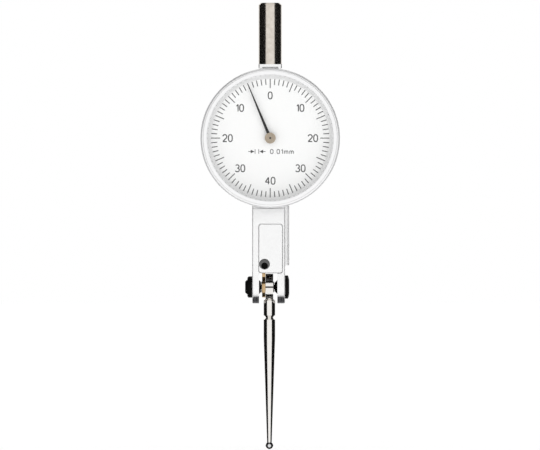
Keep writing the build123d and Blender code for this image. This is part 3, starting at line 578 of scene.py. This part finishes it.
class Recipe(Wiring):
    """A Geometry Nodes tree with named sizes that is run once and leaves a plain mesh."""

    def __init__(self, name: str) -> None:
        """Starts an empty tree.

        Args:
            name: The tree's name.
        """
        super().__init__(bpy.data.node_groups.new(name, "GeometryNodeTree"))
        self.tree.interface.new_socket(name="Geometry", in_out="OUTPUT", socket_type="NodeSocketGeometry")
        self.start = self.tree.nodes.new("NodeGroupInput")
        self.values: dict[str, float] = {}

    def size(self, name: str, value: float) -> bpy.types.NodeSocket:
        """Adds a named size to the tree.

        Args:
            name: The size's name.
            value: What it is set to.

        Returns:
            The socket that gives it to other nodes.
        """
        kind = "NodeSocketInt" if isinstance(value, int) else "NodeSocketFloat"
        socket = self.tree.interface.new_socket(name=name, in_out="INPUT", socket_type=kind)
        self.values[socket.identifier] = value
        return self.start.outputs[name]

    def index(self) -> bpy.types.NodeSocket:
        """The number of each point, from 0."""
        return self.node("GeometryNodeInputIndex").outputs[0]

    def angle(self, count: bpy.types.NodeSocket) -> bpy.types.NodeSocket:
        """The angle of each point, where so many share one turn."""
        return self.math("DIVIDE", self.math("MULTIPLY", self.index(), tau), count)

    def round_dial(
        self, count: bpy.types.NodeSocket, radius: bpy.types.NodeSocket, depth: bpy.types.NodeSocket
    ) -> bpy.types.NodeSocket:
        """Points spaced evenly round the dial's axis, from the top.

        Args:
            count: How many there are.
            radius: Each one's distance from the axis.
            depth: Their Y.

        Returns:
            The socket with the points.
        """
        angle = self.angle(count)
        height = self.size("Dial height", DIAL_CENTRE.z)
        place = self.vector(
            self.math("MULTIPLY", self.math("SINE", angle), radius),
            depth,
            self.math("MULTIPLY_ADD", self.math("COSINE", angle), radius, height),
        )
        return self.node("GeometryNodePoints", Count=count, Position=place).outputs[0]

    def mesh(self, geometry: bpy.types.NodeSocket, finish: Finish) -> bpy.types.Mesh:
        """Ends the tree, runs it and takes the mesh that it makes.

        Args:
            geometry: The geometry to end with.
            finish: The finish that the tree sets.

        Returns:
            The plain mesh.
        """
        real = self.node("GeometryNodeRealizeInstances", Geometry=geometry)
        painted = self.node("GeometryNodeSetMaterial", Geometry=real.outputs["Geometry"])
        painted.inputs["Material"].default_value = finish.material()
        self.node("NodeGroupOutput", Geometry=painted.outputs["Geometry"])
        carrier = bpy.data.objects.new(self.tree.name, bpy.data.meshes.new(self.tree.name))
        bpy.context.scene.collection.objects.link(carrier)
        modifier = carrier.modifiers.new(self.tree.name, "NODES")
        modifier.node_group = self.tree
        for identifier, value in self.values.items():
            modifier[identifier] = value
        graph = bpy.context.evaluated_depsgraph_get()
        made = bpy.data.meshes.new_from_object(carrier.evaluated_get(graph))
        carrier.modifiers.clear()
        bpy.data.meshes.remove(carrier.data)
        return made


# Sub-assemblies


class Assembly(ABC):
    """A sub-assembly of the indicator."""

    def build(self) -> None:
        """Makes the pieces that the frame lacks."""

    @abstractmethod
    def dress(self) -> None:
        """Gives the frame's own nodes their finishes."""


@dataclass
class Mounting(Assembly):
    """The clamping stem and the foot that carries it."""

    def dress(self) -> None:
        """Ground stem on a bright foot."""
        dress_nodes(GROUND_STEEL, "stem")
        dress_nodes(FOOT_CHROME, "stem_foot")


@dataclass
class Body(Assembly):
    """The housing with its cover, stop screw and pivot screws."""

    # Size and place of the recess, and of the black disc in it, which is painted shade
    recess: float = 0.85 * MM
    recess_drop: float = 0.42 * MM
    recess_depth: float = 0.2 * MM
    paint: float = 0.04 * MM
    paint_gap: float = 0.01 * MM
    meniscus: float = 0.12 * MM
    meniscus_rise: float = 0.04 * MM
    segments: int = 48

    def build(self) -> None:
        """Fills the floor of the stop screw's recess with a black disc, which is painted shade."""
        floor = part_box("nose_cover")[0].y + self.recess_depth
        centre = STOP_CENTRE - Vector((0.0, 0.0, self.recess_drop))
        wall = self.recess - self.paint_gap
        top = floor - self.paint
        outline = [
            (0.0, top),
            (wall - self.meniscus, top),
            (wall, top - self.meniscus_rise),
            (wall, floor),
            (0.0, floor),
        ]
        add_piece("stop_screw_painted_shade", lathe(outline, centre, self.segments), RECESS_SHADE, "frame")

    def dress(self) -> None:
        """Satin chrome with black screws."""
        dress_nodes(SATIN_CHROME, "housing", "nose_cover")
        dress_nodes(BLACK_STOP, "stop_screw")
        dress_nodes(BLACK_OXIDE, "right_pivot_screw", "left_pivot_screw", "lock_nut")


@dataclass
class Lever(Assembly):
    """The brass lever on its spindle."""

    def dress(self) -> None:
        """Brass lever, plain spindle, black collar."""
        dress_nodes(LEVER_BRASS, "lever_arm")
        dress_nodes(PIVOT_STEEL, "spindle")
        dress_nodes(BLACK_OXIDE, "spindle_collar")


@dataclass
class Stylus(Assembly):
    """The friction hub, the stylus and its contact ball."""

    def dress(self) -> None:
        """Polished steel with a ground ball."""
        dress_nodes(HUB_STEEL, "stylus_hub")
        dress_nodes(STYLUS_STEEL, "stylus")
        dress_nodes(CARBIDE, "contact_ball")


@dataclass
class Movement(Assembly):
    """The gear train, its frame and bearings, and the wire that keeps the bezel on."""

    def dress(self) -> None:
        """Brass frame and wheel, steel arbors and screws, ruby bearings, blued springs."""
        dress_nodes(FRAME_BRASS, "movement_frame", "dial_bridge", "hairspring_anchor", "hairspring_collet")
        dress_nodes(CROWN_BRASS, "crown_wheel")
        dress_nodes(PLAIN_STEEL, "frame_screws", "bridge_screws", "crown_arbor", "pointer_pinion")
        dress_nodes(RUBY, "crown_jewels", "pointer_jewels")
        dress_nodes(SPRING_STEEL, "hairspring", "snap_ring")


@dataclass
class Pointer(Assembly):
    """The hand, its boss and the arbor's end in it."""

    def dress(self) -> None:
        """Black hand, brass boss, and the arbor's end painted near black as shade."""
        dress_nodes(BLACK_PAINT, "pointer_hand")
        dress_nodes(BOSS_BRASS, "pointer_boss")
        dress_nodes(ARBOR_SHADE_STEEL, "pointer_arbor")


@dataclass
class Bezel(Assembly):
    """The turning bezel with its knurled rim, and the crystal in it."""

    rim: float = 1.7 * MM
    bead: float = 0.65 * MM
    bead_steps: int = 10
    step: float = 0.12 * MM
    edge: float = 0.1 * MM
    lip: float = 0.4 * MM
    seat: float = 1.0 * MM
    grip: float = 0.4 * MM
    pocket_wall: float = 1.6 * MM
    skirt_wall: float = 1.0 * MM
    ledge: float = 0.3 * MM
    ledge_wall: float = 2.35 * MM
    band_front: float = 1.5 * MM
    band_back: float = 0.9 * MM
    band_depth: float = 0.22 * MM
    ribs: int = 150
    rib_width: float = 0.56 * MM
    rib_sides: int = 8
    dial_ring_wall: float = 1.0 * MM
    dial_ring_land: float = 0.1 * MM
    dial_ring_fall: float = 0.6 * MM
    segments: int = 192

    def build(self) -> None:
        """Turns the bezel and the ring under its crystal, and lays the ribs round its rim."""
        low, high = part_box("bezel")
        radius = (high.x - low.x) / 2
        ring = add_piece("knurled_bezel", self._ring(radius, low.y, high.y), TURNED_CHROME, "bezel")
        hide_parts("bezel")
        front, back = low.y + self.band_front, high.y - self.band_back
        add_piece("bezel_knurl", self._knurl(radius, front, back), TURNED_CHROME, "bezel")
        slope = add_piece("bevelled_dial_ring", self._dial_ring(), RING_SILVER, "bezel")
        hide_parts("dial_ring")

    def dress(self) -> None:
        """Clear crystal."""
        dress_nodes(CRYSTAL, "crystal")
        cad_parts["crystal"].visible_shadow = False
        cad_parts["crystal"].visible_diffuse = False

    def _dial_ring(self) -> bpy.types.Mesh:
        """The ring that holds the dial down, with a face that slopes in towards the dial.

        Returns:
            The turned mesh.
        """
        low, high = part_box("dial_ring")
        outer = (high.x - low.x) / 2
        inner = outer - self.dial_ring_wall
        outline = [
            (outer, high.y),
            (outer, low.y),
            (outer - self.dial_ring_land, low.y),
            (inner, low.y + self.dial_ring_fall),
            (inner, high.y),
        ]
        return lathe(outline, DIAL_CENTRE, self.segments)

    def _ring(self, radius: float, front: float, back: float) -> bpy.types.Mesh:
        """The bezel without its ribs.

        Args:
            radius: Radius of the rim.
            front: Y of the front face.
            back: Y of the skirt's end.

        Returns:
            The turned mesh.
        """
        dial_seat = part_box("dial_plate")[1].y
        opening = radius - self.rim
        bead_y = front + self.step + self.bead
        quarter = [pi / 2 * step / self.bead_steps for step in range(self.bead_steps + 1)]
        outline = [
            (radius - self.bead + self.bead * cos(turn), bead_y - self.bead * sin(turn)) for turn in quarter
        ]
        outline += [
            (radius - self.bead - self.step, front),
            (opening + self.edge, front),
            (opening, front + self.edge),
            (opening, front + self.lip),
            (opening + self.grip, front + self.lip),
            (opening + self.grip, front + self.seat),
            (radius - self.pocket_wall, front + self.seat),
            (radius - self.pocket_wall, dial_seat),
            (radius - self.ledge_wall, dial_seat),
            (radius - self.ledge_wall, dial_seat + self.ledge),
            (radius - self.skirt_wall, dial_seat + self.ledge),
            (radius - self.skirt_wall, back),
            (radius - self.edge, back),
            (radius, back - self.edge),
            (radius, back - self.band_back),
            (radius - self.band_depth, back - self.band_back),
            (radius - self.band_depth, front + self.band_front),
            (radius, front + self.band_front),
        ]
        return lathe(outline, DIAL_CENTRE, self.segments)

    def _knurl(self, radius: float, front: float, back: float) -> bpy.types.Mesh:
        """Ribs that run front to back in the band round the rim.

        Args:
            radius: Radius of the rim, which the ribs reach.
            front: Y where they start.
            back: Y where they end.

        Returns:
            The mesh of all the ribs.
        """
        recipe = Recipe("coin_edge_knurl")
        count = recipe.size("Ribs", self.ribs)
        reach = recipe.size("Rim radius", radius)
        half = recipe.size("Rib radius", self.rib_width / 2)
        length = recipe.size("Rib length", back - front)
        depth = recipe.size("Middle depth", (front + back) / 2)
        middle = recipe.math("SUBTRACT", reach, half)
        rib = recipe.node("GeometryNodeMeshCylinder", Vertices=self.rib_sides, Radius=half, Depth=length)
        ribs = recipe.node(
            "GeometryNodeInstanceOnPoints",
            Points=recipe.round_dial(count, middle, depth),
            Instance=rib.outputs["Mesh"],
            Rotation=recipe.vector(pi / 2, 0.0, 0.0),
        )
        return recipe.mesh(ribs.outputs["Instances"], TURNED_CHROME)


BOW_STEPS = 20


def bow(middle: Pair, reach: Pair, start: float, end: float, square: float = 2.0) -> list[Pair]:
    """Points along a rounded stroke of a letter.

    Args:
        middle: The middle that it bends round.
        reach: How far it reaches sideways and upwards.
        start: Angle in degrees that it starts at, from the right towards the top.
        end: Angle that it ends at.
        square: 2 for an ellipse, more for fuller corners.

    Returns:
        The points as right and up.
    """
    points = []
    for step in range(BOW_STEPS + 1):
        turn = radians(start + (end - start) * step / BOW_STEPS)
        right = copysign(abs(cos(turn)) ** (2 / square), cos(turn))
        up = copysign(abs(sin(turn)) ** (2 / square), sin(turn))
        points.append((middle[0] + reach[0] * right, middle[1] + reach[1] * up))
    return points


# Strokes of each letter as right and up, in shares of a figure's height
LETTERS: dict[str, list[list[Pair]]] = {
    "0": [bow((0.28, 0.5), (0.28, 0.5), 90, 450, 2.5)],
    "1": [[(0.0, 0.76), (0.22, 1.0)], [(0.22, 1.0), (0.22, 0.0)]],
    "2": [bow((0.29, 0.71), (0.29, 0.29), 170, -35) + [(0.0, 0.0)], [(0.0, 0.0), (0.58, 0.0)]],
    "3": [bow((0.28, 0.76), (0.26, 0.24), 150, -90), bow((0.28, 0.26), (0.3, 0.26), 90, -155)],
    "4": [[(0.44, 0.0), (0.44, 1.0)], [(0.44, 1.0), (0.0, 0.3)], [(0.0, 0.3), (0.6, 0.3)]],
    ".": [[(0.0, 0.0), (0.04, 0.0)]],
    "m": [
        [(0.0, 0.0), (0.0, 0.66)],
        bow((0.19, 0.46), (0.19, 0.2), 180, 0) + [(0.38, 0.0)],
        bow((0.57, 0.46), (0.19, 0.2), 180, 0) + [(0.76, 0.0)],
    ],
}


@dataclass(frozen=True)
class Lettering:
    """One style of lettering.

    Its gap is a share of a figure's height, and its stretch multiplies each letter's width.
    """

    height: float
    stroke: float
    gap: float
    stretch: float = 1.0


@dataclass
class Dial(Assembly):
    """The white dial plate and everything printed on it."""

    divisions: int = 80
    long_every: int = 5
    ink: float = 0.03 * MM
    mark_outer: float = 15.15 * MM
    mark_short: float = 1.5 * MM
    mark_long: float = 2.35 * MM
    mark_width: float = 0.22 * MM
    numbers: int = 8
    number_step: int = 10
    number_radius: float = 10.93 * MM
    number_lettering: Lettering = Lettering(2.05 * MM, 0.29 * MM, 0.23)
    unit_text: str = "0.01mm"
    unit_lettering: Lettering = Lettering(1.3 * MM, 0.19 * MM, 0.42, 1.1)
    unit_place: Pair = (3.0 * MM, -3.44 * MM)
    stroke_rounding: int = 2
    arrows_place: Pair = (-3.4 * MM, -3.44 * MM)
    arrows_width: float = 4.4 * MM
    arrows_height: float = 1.15 * MM
    arrow_gap: float = 0.95 * MM
    arrow_head: float = 0.95 * MM
    arrow_half: float = 0.46 * MM
    line: float = 0.16 * MM
    face: float = field(init=False)

    def __post_init__(self) -> None:
        """Takes the dial's face from the frame."""
        self.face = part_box("dial_plate")[0].y

    def build(self) -> None:
        """Prints the marks, numbers, unit and arrows."""
        add_piece("dial_marks", self._marks(), DIAL_INK, "bezel")
        numbers = []
        top = self.numbers // 2 * self.number_step
        for place in range(self.numbers):
            turn = tau * place / self.numbers
            where = (self.number_radius * sin(turn), self.number_radius * cos(turn))
            value = top - abs(top - place * self.number_step)
            numbers.append(self._word(str(value), self.number_lettering, where))
        add_piece("dial_numbers", joined(numbers), DIAL_INK, "bezel")
        unit = self._word(self.unit_text, self.unit_lettering, self.unit_place)
        add_piece("dial_unit", unit, DIAL_INK, "bezel")
        add_piece("dial_arrows", self._arrows(), DIAL_INK, "bezel")

    def dress(self) -> None:
        """White dial paint."""
        dress_nodes(DIAL_WHITE, "dial_plate")

    def _marks(self) -> bpy.types.Mesh:
        """The short and long graduation marks round the dial.

        Returns:
            The mesh of all the marks.
        """
        recipe = Recipe("dial_graduation")
        count = recipe.size("Divisions", self.divisions)
        every = recipe.size("Long mark every", self.long_every)
        outer = recipe.size("Outer radius", self.mark_outer)
        short = recipe.size("Short length", self.mark_short)
        extra = recipe.size("Extra length", self.mark_long - self.mark_short)
        width = recipe.size("Width", self.mark_width)
        ink = recipe.size("Ink", self.ink)
        depth = recipe.size("Face depth", self.face)
        is_long = recipe.math("LESS_THAN", recipe.math("MODULO", recipe.index(), every), 0.5)
        length = recipe.math("MULTIPLY_ADD", is_long, extra, short)
        middle = recipe.math("MULTIPLY_ADD", length, -0.5, outer)
        mark = recipe.node("GeometryNodeMeshCube", Size=(1.0, 1.0, 1.0))
        marks = recipe.node(
            "GeometryNodeInstanceOnPoints",
            Points=recipe.round_dial(count, middle, depth),
            Instance=mark.outputs["Mesh"],
            Rotation=recipe.vector(0.0, recipe.angle(count), 0.0),
            Scale=recipe.vector(width, ink, length),
        )
        return recipe.mesh(marks.outputs["Instances"], DIAL_INK)

    def _word(self, word: str, lettering: Lettering, where: Pair) -> bpy.types.Mesh:
        """One upright word on the dial, drawn in strokes of one width.

        Args:
            word: What it says.
            lettering: How it is drawn.
            where: Its middle, to the right of and above the dial's centre.

        Returns:
            The word's mesh, in place.
        """
        curve = bpy.data.curves.new(word, "CURVE")
        curve.dimensions = "3D"
        curve.bevel_depth = lettering.stroke / 2
        curve.bevel_resolution = self.stroke_rounding
        curve.use_fill_caps = True
        scale = lettering.height - lettering.stroke
        reach = 0.0
        for letter in word:
            for points in LETTERS[letter]:
                line = curve.splines.new("POLY")
                line.use_cyclic_u = points[0] == points[-1]
                line.points.add(len(points) - 1)
                for point, (right, up) in zip(line.points, points):
                    point.co = ((reach + right * lettering.stretch) * scale, (up - 0.5) * scale, 0.0, 1.0)
            widest = max(right for points in LETTERS[letter] for right, _ in points)
            reach += lettering.gap + lettering.stretch * widest
        writing = bpy.data.objects.new(word, curve)
        bpy.context.scene.collection.objects.link(writing)
        graph = bpy.context.evaluated_depsgraph_get()
        mesh = bpy.data.meshes.new_from_object(writing.evaluated_get(graph))
        bpy.data.curves.remove(curve)
        mesh.transform(Matrix.Translation((-(reach - lettering.gap) * scale / 2, 0.0, 0.0)))
        mesh.transform(Matrix.Diagonal((1.0, 1.0, self.ink / lettering.stroke, 1.0)))
        mesh.transform(Matrix.Rotation(pi / 2, 4, "X"))
        mesh.transform(Matrix.Translation((where[0], self.face, DIAL_CENTRE.z + where[1])))
        return mesh

    def _arrows(self) -> bpy.types.Mesh:
        """Two arrows that point at two bars, the sign for the width of one division.

        Returns:
            The mesh of the whole sign, in place.
        """
        shape = bmesh.new()
        gap, head, line = self.arrow_gap / 2, self.arrow_head, self.line / 2
        tail, tall = self.arrows_width / 2, self.arrows_height / 2
        for side in (-1, 1):
            bar = [(gap - line, -tall), (gap + line, -tall), (gap + line, tall), (gap - line, tall)]
            start = gap + 2 * line
            arrow = [
                (start, 0.0),
                (start + head, -self.arrow_half),
                (start + head, -line),
                (tail, -line),
                (tail, line),
                (start + head, line),
                (start + head, self.arrow_half),
            ]
            for corners in (bar, arrow):
                self._print(shape, [(side * x, z) for x, z in corners])
        bmesh.ops.recalc_face_normals(shape, faces=shape.faces)
        return finished(shape)

    def _print(self, shape: bmesh.types.BMesh, corners: list[Pair]) -> None:
        """Adds one printed patch to the arrows.

        Args:
            shape: The shape that it goes into.
            corners: Its corners about the arrows' middle.
        """
        x, z = self.arrows_place
        back = [shape.verts.new((x + a, self.face, DIAL_CENTRE.z + z + b)) for a, b in corners]
        flat = shape.faces.new(back)
        raised = bmesh.ops.extrude_face_region(shape, geom=[flat])["geom"]
        moved = [part for part in raised if isinstance(part, bmesh.types.BMVert)]
        bmesh.ops.translate(shape, vec=(0.0, -self.ink / 2, 0.0), verts=moved)


# Studio


@dataclass
class Studio:
    """The camera, the soft light, the floor and the dark screen that polished steel mirrors.

    Lengths are in metres, and the screen's rims and cards end at angles in degrees from the viewing axis.
    """

    image: tuple[int, int] = (540, 450)
    pixels_per_mm: float = 3.89
    stem_base: Pair = (270.2, 64.5)
    distance: float = 1.6
    sensor: float = 36.0
    nearest: float = 0.01
    sky_bright: float = 1.45
    sky_dim: float = 0.7
    sky_from: tuple[float, float, float] = (0.1, -0.5, -0.9)
    sky_fade: Pair = (-0.2, 0.9)
    floor_gap: float = 0.3 * MM
    floor_size: float = 6.0
    floor_tone: float = 0.8
    floor_glow: float = 0.44
    floor_rough: float = 0.9
    screen_radius: float = 0.4
    screen_segments: int = 96
    screen_front: float = 46.0
    screen_back: float = 44.0
    screen_tilt: float = 0.2
    screen_tone: float = 0.004
    hatch_radius: float = 0.15
    hatch_edge: float = 0.03
    hatch_tone: float = 0.9
    flag_top: float = -50.0 * MM
    flag_drop: float = 0.25
    flag_back: float = 27.0

    def build(self) -> None:
        """Sets up everything that isn't part of the object."""
        bpy.context.scene.view_settings.view_transform = "Standard"
        self._camera()
        self._sky()
        self._floor()
        self._screen()

    def _camera(self) -> None:
        """A camera square to the dial, with the photograph's frame."""
        width = self.image[0] / self.pixels_per_mm * MM
        x = (self.image[0] / 2 - self.stem_base[0]) / self.pixels_per_mm * MM
        z = (self.stem_base[1] - self.image[1] / 2) / self.pixels_per_mm * MM
        lens = bpy.data.cameras.new("camera")
        lens.sensor_width = self.sensor
        lens.lens = self.sensor * self.distance / width
        lens.clip_start = self.nearest
        camera = bpy.data.objects.new("camera", lens)
        camera.location = (x, -self.distance, z)
        camera.rotation_euler = (pi / 2, 0.0, 0.0)
        bpy.context.scene.collection.objects.link(camera)
        bpy.context.scene.camera = camera

    def _sky(self) -> None:
        """Soft light from all round, stronger from the front and below, against plain white."""
        world = bpy.data.worlds.new("studio")
        world.use_nodes = True
        bpy.context.scene.world = world
        wiring = Wiring(world.node_tree)
        source = Vector(self.sky_from).normalized()
        towards = wiring.measure("DOT_PRODUCT", wiring.coordinates("Generated"), source)
        level = wiring.ramp(towards, self.sky_fade, (self.sky_dim, self.sky_bright), soft=True)
        rays = wiring.node("ShaderNodeLightPath").outputs
        seen = rays["Is Camera Ray"]
        for other in ("Is Glossy Ray", "Is Transmission Ray"):
            seen = wiring.math("MAXIMUM", seen, rays[other])
        strength = wiring.mix(seen, level, 1.0, kind="FLOAT")
        wiring.fill(world.node_tree.nodes["Background"], Color=WHITE, Strength=strength)

    def _floor(self) -> None:
        """A pale floor just under the contact ball."""
        half = self.floor_size / 2
        z = CAD_BOX[0].z - self.floor_gap
        mesh = bpy.data.meshes.new("floor")
        corners = [(-half, -half, z), (half, -half, z), (half, half, z), (-half, half, z)]
        mesh.from_pydata(corners, [], [(0, 1, 2, 3)])
        paint = node_material("floor_paint")
        wiring = Wiring(paint.node_tree)
        wiring.fill(
            paint.node_tree.nodes["Principled BSDF"],
            Base_Color=(*[self.floor_tone] * 3, 1.0),
            Roughness=self.floor_rough,
            Specular_IOR_Level=0.0,
            Emission_Color=(*[self.floor_glow] * 3, 1.0),
            Emission_Strength=wiring.node("ShaderNodeLightPath").outputs["Is Camera Ray"],
        )
        floor = self._prop("floor", mesh, paint)
        floor.visible_glossy = False

    def _screen(self) -> None:
        """A dark tube round the viewing axis, open in front and behind, that only reflections show.

        Its front leans forward at the top, and straight above the stem it has a bright hatch. Two dark
        cards behind it, level with the stylus, carry its sides further back there.
        """
        middle = DIAL_CENTRE.lerp(PIVOT_CENTRE, 0.5)
        front = -self.screen_radius / tan(radians(self.screen_front))
        back = self.screen_radius / tan(radians(self.screen_back))
        shape = bmesh.new()
        bmesh.ops.create_cone(
            shape,
            segments=self.screen_segments,
            radius1=self.screen_radius,
            radius2=self.screen_radius,
            depth=back - front,
        )
        turn = Matrix.Rotation(pi / 2, 4, "X")
        shift = Matrix.Translation((middle.x, (front + back) / 2, middle.z))
        bmesh.ops.transform(shape, matrix=shift @ turn, verts=shape.verts)
        for corner in shape.verts:
            if corner.co.y < middle.y:
                corner.co.y -= self.screen_tilt * (corner.co.z - middle.z) / self.screen_radius
        behind = self.screen_radius / tan(radians(self.flag_back))
        for side in (-1, 1):
            x = middle.x + side * self.screen_radius
            low, high = self.flag_top - self.flag_drop, self.flag_top
            corners = [(x, back, low), (x, behind, low), (x, behind, high), (x, back, high)]
            shape.faces.new([shape.verts.new(corner) for corner in corners])
        hatch = Vector((middle.x, 0.0, middle.z + self.screen_radius))
        screen = self._prop("screen", finished(shape), self._cloth(hatch))
        screen.visible_camera = False
        screen.visible_transmission = False

    def _cloth(self, hatch: Vector) -> bpy.types.Material:
        """The screen's dark cloth, bright in its hatch.

        Args:
            hatch: The middle of the hatch.

        Returns:
            The material.
        """
        cloth = node_material("screen_cloth")
        wiring = Wiring(cloth.node_tree)
        away = wiring.measure("DISTANCE", wiring.coordinates("Object"), hatch)
        edge = (self.hatch_radius - self.hatch_edge, self.hatch_radius + self.hatch_edge)
        wiring.fill(
            cloth.node_tree.nodes["Principled BSDF"],
            Base_Color=(0.0, 0.0, 0.0, 1.0),
            Roughness=1.0,
            Specular_IOR_Level=0.0,
            Emission_Color=WHITE,
            Emission_Strength=wiring.ramp(away, edge, (self.hatch_tone, self.screen_tone), soft=True),
        )
        return cloth

    @staticmethod
    def _prop(name: str, mesh: bpy.types.Mesh, paint: bpy.types.Material) -> bpy.types.Object:
        """Puts something of the studio into the scene, where it neither shades nor lights the object.

        Args:
            name: Its name.
            mesh: Its mesh, in place.
            paint: Its material.

        Returns:
            Its object.
        """
        mesh.materials.append(paint)
        prop = bpy.data.objects.new(name, mesh)
        prop.visible_diffuse = False
        prop.visible_shadow = False
        bpy.context.scene.collection.objects.link(prop)
        return prop


def main() -> None:
    """Builds and dresses every sub-assembly, then the studio."""
    logging.basicConfig(level=logging.INFO, format="%(name)s: %(message)s")
    assemblies: list[Assembly] = [
        Mounting(), Body(), Lever(), Stylus(), Movement(), Pointer(), Bezel(), Dial(),
    ]
    for assembly in assemblies:
        LOG.info("%s", type(assembly).__name__)
        assembly.build()
        assembly.dress()
    Studio().build()


if __name__ == "__main__":
    main()
